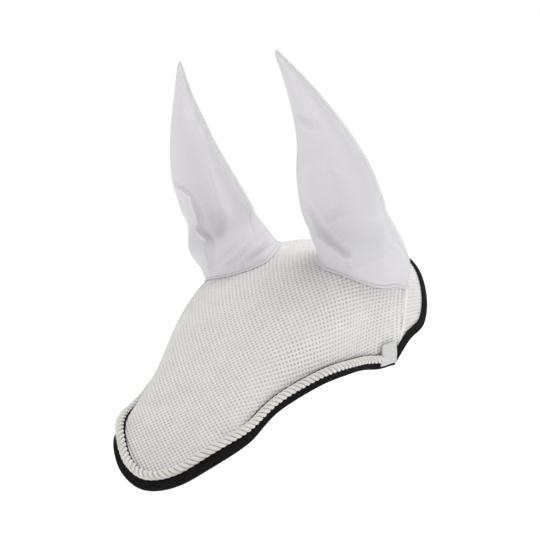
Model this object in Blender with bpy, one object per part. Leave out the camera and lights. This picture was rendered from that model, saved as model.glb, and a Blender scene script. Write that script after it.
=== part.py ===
"""Ear bonnet (fly veil) for a horse, in its worn shape.

Metres, +Z up. The horse faces -Y and its left side is +X. The origin is on the inner face of the crown, where the
bonnet rests on the horse's poll, midway between the ears.

Every piece is laid out on one form, the horse's head, in pattern coordinates: s runs along the middle from the
poll (negative) over the crown to the tip of the forehead (positive), t runs across it to the horse's left, and h is
the height above the form. form_point turns the three into a point in space.
"""

import math

import bmesh
import bpy
import numpy as np
from mathutils import Matrix, Vector
from mathutils.geometry import delaunay_2d_cdt

# ---- the form: (s in metres, value) stations along the middle line ----
SLOPE_DEG = ((-0.100, -20), (-0.040, -4), (0.020, 17), (0.075, 35), (0.130, 43), (0.190, 45), (0.270, 54))
FAN_DEG = ((-0.090, -12), (0.000, 4), (0.080, 23), (0.170, 41), (0.270, 46))
TOP_BEND_DEG_PER_M = ((-0.090, 206), (0.000, 240), (0.080, 206), (0.170, 57), (0.270, 0))
SIDE_BEND_START = ((-0.090, 0.045), (0.000, 0.048), (0.080, 0.049), (0.170, 0.031), (0.270, 0.060))
SIDE_BEND_END = ((-0.090, 0.100), (0.000, 0.101), (0.080, 0.103), (0.170, 0.069), (0.270, 0.120))
SIDE_BEND_DEG = ((-0.090, 42), (0.000, 48), (0.080, 59), (0.170, 48), (0.270, 23))

# ---- the outline of the bonnet in pattern coordinates (s, t) ----
TIP_S = 0.272
CORNER = (0.013, 0.160)
FRONT_RIM = ((TIP_S, 0.0), (0.2645, 0.027), (0.246, 0.048), (0.215, 0.065), (0.179, 0.076), (0.138, 0.098),
             (0.091, 0.128), (0.044, 0.152), CORNER)
REAR_RIM = (CORNER, (-0.018, 0.147), (-0.052, 0.136), (-0.073, 0.104), (-0.079, 0.055), (-0.080, 0.0))

# ---- cloth and trim ----
KNIT_THICKNESS = 0.0016
LYCRA_THICKNESS = 0.0012
TAPE_THICKNESS = 0.0009
CLEARANCE = 0.0005
BINDING_WIDTH = 0.0140
BINDING_INNER_WIDTH = 0.0090
REAR_BINDING_WIDTH = 0.0095
CORNER_MITRE = 0.0105
ROPE_DIAMETER = 0.0060
ROPE_INSET = 0.0112
TAB_WIDTH = 0.0150
TAB_HEIGHT = 0.0190
TAB_INNER_HEIGHT = 0.0120
SEAM_TAPE_WIDTH = 0.0050
CLOTH_EDGE = 2 * (CLEARANCE + TAPE_THICKNESS)  # the knit ends this far inside the outline, under binding and tab
END_GAP = 0.0007  # between the middle of a corner and the trim that ends there
ROPE_END_GAP = 0.0035  # from a tab to the rope's end
TAPE_TOP_GAP = 0.0090  # from an ear's base seam to the side tape
TAPE_LOW_GAP = 0.0120  # from a tab to the side tape
CROWN_TAPE_GAP = 0.0030  # from an ear's base seam to the crown tape

# ---- ears ----
EAR_HOLE_CENTRE = (0.002, 0.062)
EAR_HOLE_LONG = 0.054
EAR_HOLE_SHORT = 0.032
EAR_HOLE_TURN_DEG = 137
EAR_SPINE = ((0.00, 0.0630, -0.0060, -0.0220), (0.12, 0.0650, -0.0200, 0.0040), (0.30, 0.0672, -0.0400, 0.0340),
             (0.50, 0.0680, -0.0580, 0.0640), (0.70, 0.0655, -0.0760, 0.0960), (0.88, 0.0570, -0.0960, 0.1290),
             (1.00, 0.0480, -0.1100, 0.1510))
EAR_HALF_WIDTH = ((0.0, 0.0440), (0.12, 0.0430), (0.30, 0.0405), (0.50, 0.0340), (0.70, 0.0225), (0.88, 0.0105),
                  (1.0, 0.0018))
EAR_HALF_DEPTH = ((0.0, 0.0300), (0.12, 0.0260), (0.30, 0.0200), (0.50, 0.0165), (0.70, 0.0115), (0.88, 0.0060),
                  (1.0, 0.0016))
EAR_TWIST_DEG = ((0.0, 30), (0.30, 8), (1.0, 0))
EAR_SETTLE = 0.30  # above this share of its length the ear has its own section
FRONT_HOLLOW = 0.75
FRONT_HOLLOW_TURN_DEG = 95
FRONT_HOLLOW_SPREAD_DEG = 34
BULGE = 0.0145  # the slack of the cloth at the foot of the ear, on its outer front side
BULGE_DIRECTION = (0.68, -0.70, -0.20)
BULGE_TURN_DEG = 48
BULGE_SPREAD_DEG = 42
BULGE_TOP = 0.27
EAR_HINGE = (0.066, -0.010, -0.018)
CUFF_TOP = 0.20
CUFF_GAP = 0.0025  # of the ear's length, between cuff and panels
SEAM_START = 0.006  # of the ear's length, between the panels' lower edge and the seam's start
PANEL_TOP = 0.970
OUTER_SEAM_DEG = 0
INNER_SEAM_DEG = 186
SEAM_CORD_RADIUS = 0.0008
BASE_CORD_RADIUS = 0.0014
BASE_CORD_GAP = 0.0011  # from the ear's hole to the base seam

# ---- mesh density ----
PANEL_GRID = 0.015
LEG_ROW = 0.0055
RIM_STEP = 0.0105
TAB_STEP = 0.003
SHORTEST_STEP = 0.002
QUADRATURE = 16
EAR_HOLE_POINTS = 32
HOLE_REAR_INNER = 24  # the point of the ear hole where the crown seam meets it
NARROWEST = 0.6  # the pattern's least width in space, where the form's sections fan together

SIDES = (("left", 1), ("right", -1))


def keyed(where, stations):
    """The smooth curve through the stations, each (place, value), read at each place in where."""
    table = np.array(stations, float)
    places, values = table[:, 0], table[:, 1]
    steps = np.diff(places)
    rises = np.diff(values) / steps
    slopes = np.empty(len(places))
    slopes[0], slopes[-1] = rises[0], rises[-1]
    slopes[1:-1] = (rises[:-1] * steps[1:] + rises[1:] * steps[:-1]) / (steps[:-1] + steps[1:])
    where = np.asarray(where, float)
    left = np.clip(np.searchsorted(places, where) - 1, 0, len(places) - 2)
    step = steps[left]
    f = np.clip((where - places[left]) / step, 0, 1)
    start = (2 * f**3 - 3 * f**2 + 1) * values[left] + (f**3 - 2 * f**2 + f) * step * slopes[left]
    end = (3 * f**2 - 2 * f**3) * values[left + 1] + (f**3 - f**2) * step * slopes[left + 1]
    return start + end


def ease(f):
    f = np.clip(f, 0, 1)
    return f * f * (3 - 2 * f)


def middle_line(s):
    """Y and Z of the form's middle line at s, from its slope."""
    fractions = (np.arange(QUADRATURE) + 0.5) / QUADRATURE
    slope = np.radians(keyed(s[..., None] * fractions, SLOPE_DEG))
    return -np.cos(slope).mean(-1) * s, -np.sin(slope).mean(-1) * s


def on_form(s, t):
    """The points of the form at s, t."""
    s, t = np.broadcast_arrays(np.asarray(s, float), np.asarray(t, float))
    y, z = middle_line(s)
    fractions = (np.arange(QUADRATURE) + 0.5) / QUADRATURE
    across = np.abs(t)[..., None] * fractions
    start = keyed(s, SIDE_BEND_START)[..., None]
    end = keyed(s, SIDE_BEND_END)[..., None]
    bend = np.radians(keyed(s, TOP_BEND_DEG_PER_M))[..., None] * across
    bend = bend + np.radians(keyed(s, SIDE_BEND_DEG))[..., None] * ease((across - start) / (end - start))
    drop = np.sin(bend).mean(-1) * np.abs(t)
    fan = np.radians(keyed(s, FAN_DEG))
    return np.stack([np.cos(bend).mean(-1) * t, y + drop * np.sin(fan), z - drop * np.cos(fan)], -1)


def form_frame(s, t):
    """The form's rates of change along s and t, and its outward normal."""
    d = 0.0005
    s, t = np.asarray(s, float), np.asarray(t, float)
    along = (on_form(s + d, t) - on_form(s - d, t)) / (2 * d)
    across = (on_form(s, t + d) - on_form(s, t - d)) / (2 * d)
    normal = np.cross(along, across)
    return along, across, normal / np.linalg.norm(normal, axis=-1, keepdims=True)


def form_point(s, t, h):
    """The point h above the form at s, t."""
    return on_form(s, t) + form_frame(s, t)[2] * np.asarray(h, float)[..., None]


def smooth_line(points, step, mirrored_start=False, mirrored_end=False):
    """A smooth line through the points, with about step between its points."""
    points = np.array(points, float)
    flip = np.array([1, -1])
    before = points[1] * flip if mirrored_start else 2 * points[0] - points[1]
    after = points[-2] * flip if mirrored_end else 2 * points[-1] - points[-2]
    p = np.vstack([before, points, after])
    line = []
    for i in range(1, len(p) - 2):
        count = max(2, round(np.linalg.norm(p[i + 1] - p[i]) / step))
        f = (np.arange(count) / count)[:, None]
        middle = (p[i + 1] - p[i - 1]) * f
        second = (2 * p[i - 1] - 5 * p[i] + 4 * p[i + 1] - p[i + 2]) * f**2
        third = (3 * p[i] - p[i - 1] - 3 * p[i + 1] + p[i + 2]) * f**3
        line.append(0.5 * (2 * p[i] + middle + second + third))
    line.append(points[-1:])
    return np.vstack(line)


def mirror(line):
    """The same line on the horse's right, in the opposite order."""
    return (line * [1, -1])[::-1]


def inset(line, distance):
    """The line moved over the cloth by a real distance, to the left of its direction."""
    direction = np.gradient(line, axis=0)
    along, across, normal = form_frame(line[:, 0], line[:, 1])
    tangent = along * direction[:, :1] + across * direction[:, 1:]
    side = np.cross(normal, tangent)
    side /= np.linalg.norm(side, axis=1, keepdims=True)
    moved = np.empty_like(line)
    for i in range(len(line)):
        pattern = np.stack([along[i], across[i]], 1)
        moved[i] = line[i] + np.linalg.lstsq(pattern, side[i] * distance, rcond=None)[0]
    return moved


# ---- meshes ----
def add_object(name, points, faces, colour, roughness, smooth_angle=60):
    mesh = bpy.data.meshes.new(name)
    mesh.from_pydata([tuple(p) for p in points], [], [tuple(int(i) for i in face) for face in faces])
    bm = bmesh.new()
    bm.from_mesh(mesh)
    bmesh.ops.recalc_face_normals(bm, faces=bm.faces)
    if bm.calc_volume(signed=True) < 0:
        bmesh.ops.reverse_faces(bm, faces=bm.faces)
    bm.to_mesh(mesh)
    bm.free()
    mesh.shade_smooth()
    mesh.set_sharp_from_angle(angle=math.radians(smooth_angle))
    obj = bpy.data.objects.new(name, mesh)
    bpy.context.scene.collection.objects.link(obj)
    mesh.materials.append(make_material(name, colour, roughness))
    return obj


def make_material(name, colour, roughness):
    material = bpy.data.materials.new(name)
    material.use_nodes = True
    shader = material.node_tree.nodes["Principled BSDF"]
    shader.inputs["Base Color"].default_value = (*colour, 1)
    shader.inputs["Roughness"].default_value = roughness
    shader.inputs["Metallic"].default_value = 0
    return material


WHITE_KNIT = (0.80, 0.80, 0.78)
WHITE_LYCRA = (0.78, 0.78, 0.80)
CREAM = (0.80, 0.78, 0.71)
BLACK = (0.012, 0.011, 0.012)


def inside(points, outline):
    """Which points lie inside the closed outline."""
    x, y = points[:, 0], points[:, 1]
    found = np.zeros(len(points), bool)
    for a, b in zip(outline, np.roll(outline, -1, axis=0)):
        crosses = (a[1] > y) != (b[1] > y)
        rise = b[1] - a[1] if b[1] != a[1] else 1.0
        found ^= crosses & (x < (b[0] - a[0]) * (y - a[1]) / rise + a[0])
    return found


def distance_to(points, outline):
    """The distance from each point to the closed outline."""
    a, b = outline, np.roll(outline, -1, axis=0)
    edge = b - a
    f = ((points[:, None] - a) * edge).sum(-1) / np.maximum((edge**2).sum(-1), 1e-12)
    nearest = a + np.clip(f, 0, 1)[..., None] * edge
    return np.linalg.norm(points[:, None] - nearest, axis=-1).min(1)


def cloth_panel(name, outline, rows, low, high, colour, roughness):
    """A closed sheet over the form from low to high, inside the outline, with mesh edges along the rows."""
    corner = np.floor(outline.min(0) / PANEL_GRID) * PANEL_GRID
    counts = np.ceil((outline.max(0) - corner) / PANEL_GRID).astype(int) + 1
    grid = np.stack(np.meshgrid(*[np.arange(n) for n in counts], indexing="ij"), -1).reshape(-1, 2)
    grid = corner + grid * PANEL_GRID
    keep = inside(grid, outline) & (distance_to(grid, outline) > PANEL_GRID * 0.45)
    flat = outline
    edges = [(i, (i + 1) % len(outline)) for i in range(len(outline))]
    for row in rows:
        keep &= distance_to(grid, row) > PANEL_GRID * 0.45
        edges += row_edges(row, outline, len(flat))
        flat = np.vstack([flat, row])
    flat = np.vstack([flat, grid[keep]])
    made = delaunay_2d_cdt([Vector(p) for p in flat], edges, [], 0, 1e-7)
    flat = np.array([tuple(p) for p in made[0]])
    faces = np.array(made[2])
    faces = faces[inside(flat[faces].mean(1), outline)]
    sheet_solid(name, flat, faces, low, high, colour, roughness)


def row_edges(row, outline, first):
    """The edges between the row's neighbouring points that both lie well inside the outline."""
    kept = inside(row, outline) & (distance_to(row, outline) > SHORTEST_STEP)
    return [(first + i, first + i + 1) for i in range(len(row) - 1) if kept[i] and kept[i + 1]]


def sheet_solid(name, flat, faces, low, high, colour, roughness):
    """The flat triangles bent over the form and closed between low and high."""
    used, faces = np.unique(faces, return_inverse=True)
    faces = faces.reshape(-1, 3)
    flat = flat[used]
    n = len(flat)
    points = np.vstack([form_point(flat[:, 0], flat[:, 1], np.full(n, h)) for h in (low, high)])
    ends = np.concatenate([faces[:, [0, 1]], faces[:, [1, 2]], faces[:, [2, 0]]])
    known = {(int(a), int(b)) for a, b in ends}
    walls = [(a, b, b + n, a + n) for a, b in known if (b, a) not in known]
    walls.sort()
    solid = [tuple(face) for face in faces[:, ::-1]] + [tuple(face + n) for face in faces] + walls
    add_object(name, points, solid, colour, roughness)


def swept(name, rings, colour, roughness, closed=False, smooth_angle=60):
    """A solid through rings of points of equal count, capped at both ends unless it closes on itself."""
    count, size = len(rings), len(rings[0])
    faces = []
    for i in range(count if closed else count - 1):
        a, b = i * size, (i + 1) % count * size
        for j in range(size):
            k = (j + 1) % size
            faces.append((a + j, a + k, b + k, b + j))
    if not closed:
        faces.append(tuple(range(size))[::-1])
        faces.append(tuple(range((count - 1) * size, count * size)))
    return add_object(name, np.vstack(rings), faces, colour, roughness, smooth_angle)


def tube_rings(line, radius, sides, closed=False):
    """Round rings along a line of points in space."""
    line = np.asarray(line, float)
    if closed:
        tangent = np.roll(line, -1, axis=0) - np.roll(line, 1, axis=0)
    else:
        tangent = np.gradient(line, axis=0)
    tangent /= np.linalg.norm(tangent, axis=1, keepdims=True)
    side = np.cross(tangent[0], (0, 0, 1))
    rings = []
    for p, d in zip(line, tangent):
        side = side - d * side.dot(d)
        side /= np.linalg.norm(side)
        other = np.cross(d, side)
        turn = 2 * np.pi * np.arange(sides) / sides
        rings.append(p + radius * (np.cos(turn)[:, None] * side + np.sin(turn)[:, None] * other))
    return rings


# ---- the outline's lines ----
def front_rim(step=RIM_STEP):
    """The edge from the right corner round the tip to the left corner."""
    half = smooth_line(FRONT_RIM, step, mirrored_start=True)
    return np.vstack([mirror(half), half[1:]])


def rear_rim(step=RIM_STEP):
    """The edge from the left corner round the poll to the right corner."""
    half = smooth_line(REAR_RIM, step, mirrored_end=True)
    return np.vstack([half, mirror(half)[1:]])


def ear_hole(grow=0.0):
    """The left ear's hole from its outer rear end, by way of the front."""
    turn = 2 * np.pi * np.arange(EAR_HOLE_POINTS) / EAR_HOLE_POINTS
    lean = math.radians(EAR_HOLE_TURN_DEG)
    long_axis = np.array([math.cos(lean), math.sin(lean)])
    short_axis = np.array([long_axis[1], -long_axis[0]])
    return (np.array(EAR_HOLE_CENTRE) + np.cos(turn)[:, None] * long_axis * (EAR_HOLE_LONG + grow)
            + np.sin(turn)[:, None] * short_axis * (EAR_HOLE_SHORT + grow))


def side_seam():
    """From the ear hole's outer rear end to the left corner of the knit."""
    corner = inset(front_rim(), CLOTH_EDGE)[-1]
    return smooth_line((ear_hole()[0], (-0.012, 0.134), corner), RIM_STEP)


def crown_seam():
    """From the left ear hole's inner rear side to the middle."""
    start = ear_hole()[HOLE_REAR_INNER]
    return smooth_line((start, (start[0] - 0.002, 0.0)), RIM_STEP)


def front_outline():
    hole = ear_hole()
    rim = inset(front_rim(), CLOTH_EDGE)
    side = side_seam()[1:-1]
    half = np.vstack([rim[len(rim) // 2:], side[::-1], hole[: HOLE_REAR_INNER + 1], crown_seam()[1:]])
    return np.vstack([half, mirror(half)[1:-1]])


def rear_outline():
    hole = ear_hole()
    side = side_seam()[1:-1]
    rim = inset(rear_rim(), CLOTH_EDGE)
    rim[0] = side_seam()[-1]
    half = np.vstack([rim[: len(rim) // 2 + 1][::-1], side[::-1], hole[:1],
                      hole[HOLE_REAR_INNER:][::-1], crown_seam()[1:]])
    return np.vstack([half, mirror(half)[1:-1]])


def shrink(outline, distance):
    """The closed outline moved inwards by distance on the pattern."""
    ahead = np.roll(outline, -1, axis=0) - outline
    behind = outline - np.roll(outline, 1, axis=0)
    ahead /= np.linalg.norm(ahead, axis=1, keepdims=True)
    behind /= np.linalg.norm(behind, axis=1, keepdims=True)
    area = (outline[:, 0] * np.roll(outline[:, 1], -1) - np.roll(outline[:, 0], -1) * outline[:, 1]).sum()
    turn = 1 if area > 0 else -1
    normal = np.stack([-(ahead + behind)[:, 1], (ahead + behind)[:, 0]], 1) * turn
    normal /= np.maximum(np.linalg.norm(normal, axis=1, keepdims=True), 1e-9)
    sharp = np.clip((ahead * behind).sum(1), -1, 1)
    stretch = 1 / np.sqrt(np.maximum((1 + sharp) / 2, 0.25))
    return outline + normal * distance * stretch[:, None]


def make_panels():
    gap = CLEARANCE / 2 / NARROWEST
    rows = [inset(front_rim(), e) for e in leg_steps(BINDING_WIDTH)[1:]]
    cloth_panel("front_knit_panel", shrink(front_outline(), gap), rows, 0.0, KNIT_THICKNESS, WHITE_KNIT, 0.9)
    rows = [inset(rear_rim(), e) for e in leg_steps(REAR_BINDING_WIDTH)[1:]]
    cloth_panel("rear_knit_panel", shrink(rear_outline(), gap), rows, 0.0, KNIT_THICKNESS, WHITE_KNIT, 0.9)


def leg_steps(width):
    """Distances in from the edge, evenly spaced, at which a folded strip follows the form."""
    return np.linspace(0, width, round(width / LEG_ROW) + 1)


def channel_rings(line, width, lift, thickness, inner_width):
    """Rings of a strip folded round the cloth's edge, lift clear of the cloth on both faces and at its edge."""
    top, low = KNIT_THICKNESS + lift, -lift
    edge = CLOTH_EDGE - lift
    outer, inner = leg_steps(width)[1:], leg_steps(inner_width)[1:]
    profile = [(e, top + thickness) for e in outer[::-1]]
    profile += [(edge - thickness, top + thickness), (edge - thickness, low - thickness)]
    profile += [(e, low - thickness) for e in inner]
    profile += [(e, low) for e in inner[::-1]]
    profile += [(edge, low), (edge, top)]
    profile += [(e, top) for e in outer]
    columns = [form_point(*inset(line, e).T, np.full(len(line), h)) for e, h in profile]
    return list(np.stack(columns, 1))


def trimmed(line, start, end):
    """The line without its first start and last end metres, measured on the form."""
    points = on_form(line[:, 0], line[:, 1])
    length = np.concatenate([[0], np.cumsum(np.linalg.norm(np.diff(points, axis=0), axis=1))])
    keep = (length > start + SHORTEST_STEP) & (length < length[-1] - end - SHORTEST_STEP)
    ends = [[np.interp(x, length, line[:, i]) for i in (0, 1)] for x in (start, length[-1] - end)]
    return np.vstack([ends[0], line[keep], ends[1]])


def make_bindings():
    front = trimmed(front_rim(), CLEARANCE, CLEARANCE)
    swept("front_edge_binding", channel_rings(front, BINDING_WIDTH, CLEARANCE, TAPE_THICKNESS,
                                                BINDING_INNER_WIDTH), BLACK, 0.7)
    rear = trimmed(rear_rim(), CORNER_MITRE, CORNER_MITRE)
    swept("rear_edge_binding", channel_rings(rear, REAR_BINDING_WIDTH, CLEARANCE, TAPE_THICKNESS,
                                              REAR_BINDING_WIDTH), BLACK, 0.7)


def make_rope():
    ends = TAB_WIDTH + ROPE_END_GAP
    line = inset(trimmed(front_rim(), ends, ends), ROPE_INSET)
    height = KNIT_THICKNESS + 2 * CLEARANCE + TAPE_THICKNESS + ROPE_DIAMETER / 2
    points = form_point(line[:, 0], line[:, 1], np.full(len(line), height))
    swept("front_twisted_rope", tube_rings(points, ROPE_DIAMETER / 2, 6), CREAM, 0.8)


def make_tabs():
    whole = front_rim(TAB_STEP)
    length = np.linalg.norm(np.diff(on_form(whole[:, 0], whole[:, 1]), axis=0), axis=1).sum()
    left = trimmed(whole, length - TAB_WIDTH - END_GAP, END_GAP)
    right = trimmed(whole, END_GAP, length - TAB_WIDTH - END_GAP)
    lift = 2 * CLEARANCE + TAPE_THICKNESS
    for name, line in (("left", left), ("right", right)):
        rings = channel_rings(line, TAB_HEIGHT, lift, TAPE_THICKNESS, TAB_INNER_HEIGHT)
        swept(name + "_edge_tab", rings, WHITE_LYCRA, 0.6)


def flat_strip(line, width, low, high):
    """Rings of a flat strip centred on the line."""
    profile = ((-width / 2, low), (width / 2, low), (width / 2, high), (-width / 2, high))
    columns = [form_point(*inset(line, e).T, np.full(len(line), h)) for e, h in profile]
    return list(np.stack(columns, 1))


def make_seam_tapes():
    low = KNIT_THICKNESS + CLEARANCE
    side = trimmed(side_seam(), 3 * BASE_CORD_RADIUS + TAPE_TOP_GAP, TAB_HEIGHT + TAPE_LOW_GAP)
    swept("left_side_seam_tape", flat_strip(side, SEAM_TAPE_WIDTH, low, low + TAPE_THICKNESS), WHITE_KNIT, 0.8)
    other = mirror(side)
    swept("right_side_seam_tape", flat_strip(other, SEAM_TAPE_WIDTH, low, low + TAPE_THICKNESS), WHITE_KNIT, 0.8)
    half = trimmed(crown_seam(), 3 * BASE_CORD_RADIUS + CROWN_TAPE_GAP, 0.0)
    whole = np.vstack([half, mirror(half)[1:]])
    swept("crown_seam_tape", flat_strip(whole, SEAM_TAPE_WIDTH, low, low + TAPE_THICKNESS), WHITE_KNIT, 0.8)


# ---- ears ----
def ear_spine(u):
    table = np.array(EAR_SPINE)
    return np.stack([keyed(u, table[:, [0, i]]) for i in (1, 2, 3)], -1)


def hump(turn, middle_deg, spread_deg):
    """1 at the middle of a bell across the turn, which falls off over the spread."""
    away = (turn - math.radians(middle_deg) + math.pi) % (2 * math.pi) - math.pi
    return np.exp(-((away / math.radians(spread_deg)) ** 2))


def ear_section(u, turn):
    """The free part of the left ear: an oval round the spine, hollowed at the front."""
    d = 0.002
    spine = ear_spine(u)
    tangent = ear_spine(np.clip(u + d, 0, 1)) - ear_spine(np.clip(u - d, 0, 1))
    tangent /= np.linalg.norm(tangent, axis=-1, keepdims=True)
    twist = np.radians(keyed(u, EAR_TWIST_DEG))
    outward = np.stack([np.cos(twist), np.sin(twist), 0 * twist], -1)
    outward = outward - tangent * (outward * tangent).sum(-1, keepdims=True)
    outward /= np.linalg.norm(outward, axis=-1, keepdims=True)
    forward = np.cross(tangent, outward) * -1
    width = keyed(u, EAR_HALF_WIDTH) * np.cos(turn)
    dent = FRONT_HOLLOW * ease(u / EAR_SETTLE) * hump(turn, FRONT_HOLLOW_TURN_DEG, FRONT_HOLLOW_SPREAD_DEG)
    depth = keyed(u, EAR_HALF_DEPTH) * (np.sin(turn) - dent)
    return spine + outward * width[..., None] + forward * depth[..., None]


def ear_surface(u, turn):
    """The left ear's outer face: it starts at the hole in the knit and settles into its own section."""
    u, turn = np.broadcast_arrays(np.asarray(u, float), np.asarray(turn, float))
    lean = math.radians(EAR_HOLE_TURN_DEG)
    s = (EAR_HOLE_CENTRE[0] + np.cos(turn) * math.cos(lean) * EAR_HOLE_LONG
         + np.sin(turn) * math.sin(lean) * EAR_HOLE_SHORT)
    t = (EAR_HOLE_CENTRE[1] + np.cos(turn) * math.sin(lean) * EAR_HOLE_LONG
         - np.sin(turn) * math.cos(lean) * EAR_HOLE_SHORT)
    base = form_point(s, t, np.full(s.shape, KNIT_THICKNESS + CLEARANCE))
    along = np.clip(u / EAR_SETTLE, 0, 1)[..., None]
    rise = ear_spine(u) - ear_spine(np.zeros_like(u))
    own = ear_section(u, turn)
    share = ease(along)
    slack = BULGE * np.sin(np.pi * np.clip(u / BULGE_TOP, 0, 1)) ** 2 * hump(turn, BULGE_TURN_DEG, BULGE_SPREAD_DEG)
    return (base + rise) * (1 - share) + own * share + slack[..., None] * np.array(BULGE_DIRECTION)


def ear_point(u, turn, depth):
    """The point depth inside the left ear's outer face."""
    d = 0.003
    up = ear_surface(np.clip(u + d, 0, 1), turn) - ear_surface(np.clip(u - d, 0, 1), turn)
    round_ = ear_surface(u, turn + d) - ear_surface(u, turn - d)
    normal = np.cross(round_, up)
    normal /= np.linalg.norm(normal, axis=-1, keepdims=True)
    centre = ear_spine(u)
    outward = np.sign((normal * (ear_surface(u, turn) - centre)).sum(-1, keepdims=True).mean())
    return ear_surface(u, turn) - normal * outward * depth


def grid_solid(name, outer, inner, colour, roughness, wrap=False):
    """A closed solid between two grids of points; wrap joins the last column to the first."""
    rows, columns = outer.shape[:2]
    n = rows * columns
    points = np.vstack([outer.reshape(-1, 3), inner.reshape(-1, 3)])
    faces = []
    for i in range(rows - 1):
        for j in range(columns if wrap else columns - 1):
            k = (j + 1) % columns
            a, b, c, e = i * columns + j, i * columns + k, (i + 1) * columns + k, (i + 1) * columns + j
            faces.append((a, b, c, e))
            faces.append((e + n, c + n, b + n, a + n))
    for row, flip in ((0, 1), (rows - 1, -1)):
        for j in range(columns if wrap else columns - 1):
            k = (j + 1) % columns
            a, b = row * columns + j, row * columns + k
            faces.append((a, a + n, b + n, b)[::flip])
    if not wrap:
        for column, flip in ((0, -1), (columns - 1, 1)):
            for i in range(rows - 1):
                a, b = i * columns + column, (i + 1) * columns + column
                faces.append((a, a + n, b + n, b)[::flip])
    return add_object(name, points, faces, colour, roughness)


def seam_turn(u, seam_deg, distance):
    """The turn that lies a real distance past the seam at u."""
    seam = math.radians(seam_deg)
    step = 0.02
    speed = np.linalg.norm(ear_surface(u, seam + step) - ear_surface(u, seam - step), axis=-1) / (2 * step)
    return seam + distance / speed


def mirrored_x(points, side):
    return points * np.array([side, 1, 1])


def hinge_here(obj, side):
    """Moves the object's origin to its ear's hinge and leaves its shape in place."""
    hinge = Vector(mirrored_x(np.array(EAR_HINGE), side))
    obj.data.transform(Matrix.Translation(-hinge))
    obj.location = hinge


def ear_rows():
    return np.linspace(CUFF_TOP, PANEL_TOP, 15)


def make_ear(label, side):
    rows = ear_rows()
    clear = SEAM_CORD_RADIUS + 2 * CLEARANCE
    full = 2 * math.pi
    spans = (("front", OUTER_SEAM_DEG, INNER_SEAM_DEG, 0.0, 12), ("back", INNER_SEAM_DEG, OUTER_SEAM_DEG, full, 9))
    for panel, first, last, more, columns in spans:
        start = seam_turn(rows, first, clear)
        end = seam_turn(rows, last, -clear) + more
        fractions = np.linspace(0, 1, columns)
        turn = start[:, None] + (end - start)[:, None] * fractions
        u = np.broadcast_to(rows[:, None], turn.shape)
        outer = mirrored_x(ear_point(u, turn, 0.0), side)
        inner = mirrored_x(ear_point(u, turn, LYCRA_THICKNESS), side)
        hinge_here(grid_solid(f"{label}_ear_{panel}_panel", outer, inner, WHITE_LYCRA, 0.6), side)
    make_cuff(label, side)
    make_ear_seam(label, side)
    make_base_seam(label, side)


def make_cuff(label, side):
    rows = np.linspace(0.0, CUFF_TOP - CUFF_GAP, 7)
    turn = 2 * np.pi * np.arange(30) / 30
    u, turn = np.meshgrid(rows, turn, indexing="ij")
    outer = mirrored_x(ear_point(u, turn, 0.0), side)
    inner = mirrored_x(ear_point(u, turn, LYCRA_THICKNESS), side)
    grid_solid(f"{label}_ear_cuff", outer, inner, WHITE_LYCRA, 0.6, wrap=True)


def make_ear_seam(label, side):
    """The stitched seam from the cuff up the outer edge, over the tip and down the inner edge."""
    rows = ear_rows()
    rows[0] += SEAM_START
    up = ear_point(rows, np.full(len(rows), math.radians(OUTER_SEAM_DEG)), LYCRA_THICKNESS / 2)
    down = ear_point(rows, np.full(len(rows), math.radians(INNER_SEAM_DEG)), LYCRA_THICKNESS / 2)[::-1]
    tip = ear_spine(np.array([1.0])) + (0, 0, 2 * SEAM_CORD_RADIUS)
    line = mirrored_x(np.vstack([up, tip, down]), side)
    hinge_here(swept(f"{label}_ear_seam", tube_rings(line, SEAM_CORD_RADIUS, 5), WHITE_LYCRA, 0.7), side)


def make_base_seam(label, side):
    """The stitched ring that joins the ear to the knit."""
    hole = ear_hole(BASE_CORD_RADIUS + BASE_CORD_GAP)
    height = KNIT_THICKNESS + CLEARANCE + BASE_CORD_RADIUS
    line = mirrored_x(form_point(hole[:, 0], hole[:, 1], np.full(len(hole), height)), side)
    rings = tube_rings(line, BASE_CORD_RADIUS, 5, closed=True)
    swept(f"{label}_ear_base_seam", rings, WHITE_LYCRA, 0.7, closed=True)


def main():
    for obj in list(bpy.data.objects):
        bpy.data.objects.remove(obj, do_unlink=True)
    make_panels()
    make_bindings()
    make_rope()
    make_tabs()
    make_seam_tapes()
    for label, side in SIDES:
        make_ear(label, side)


main()
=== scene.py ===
import math

import bpy
import numpy as np
from mathutils import Matrix, Vector


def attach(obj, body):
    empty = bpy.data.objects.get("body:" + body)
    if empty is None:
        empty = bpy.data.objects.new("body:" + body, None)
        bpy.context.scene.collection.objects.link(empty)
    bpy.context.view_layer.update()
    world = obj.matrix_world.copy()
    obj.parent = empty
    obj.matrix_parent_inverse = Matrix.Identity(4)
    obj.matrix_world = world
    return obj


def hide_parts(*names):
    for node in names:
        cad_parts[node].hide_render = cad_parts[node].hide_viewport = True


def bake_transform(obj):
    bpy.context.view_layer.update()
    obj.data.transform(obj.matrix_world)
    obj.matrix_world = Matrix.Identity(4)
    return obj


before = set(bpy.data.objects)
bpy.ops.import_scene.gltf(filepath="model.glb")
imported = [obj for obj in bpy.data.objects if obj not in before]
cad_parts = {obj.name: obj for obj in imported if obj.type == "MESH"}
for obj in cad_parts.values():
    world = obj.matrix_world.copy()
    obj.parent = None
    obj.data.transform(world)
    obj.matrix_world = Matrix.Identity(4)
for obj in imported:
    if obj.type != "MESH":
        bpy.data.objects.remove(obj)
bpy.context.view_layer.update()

# ---- the form of the head, within a few millimetres of the CAD's ----
# Each table holds (s, value) stations along the middle line, in metres and degrees.
SLOPE_DEG = ((-0.100, -20), (-0.040, -4), (0.020, 17), (0.075, 35), (0.130, 43), (0.190, 45), (0.270, 54))
FAN_DEG = ((-0.090, -12), (0.000, 4), (0.080, 23), (0.170, 41), (0.270, 46))
TOP_BEND_DEG_PER_M = ((-0.090, 206), (0.000, 240), (0.080, 236), (0.170, 80), (0.270, 10))
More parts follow.
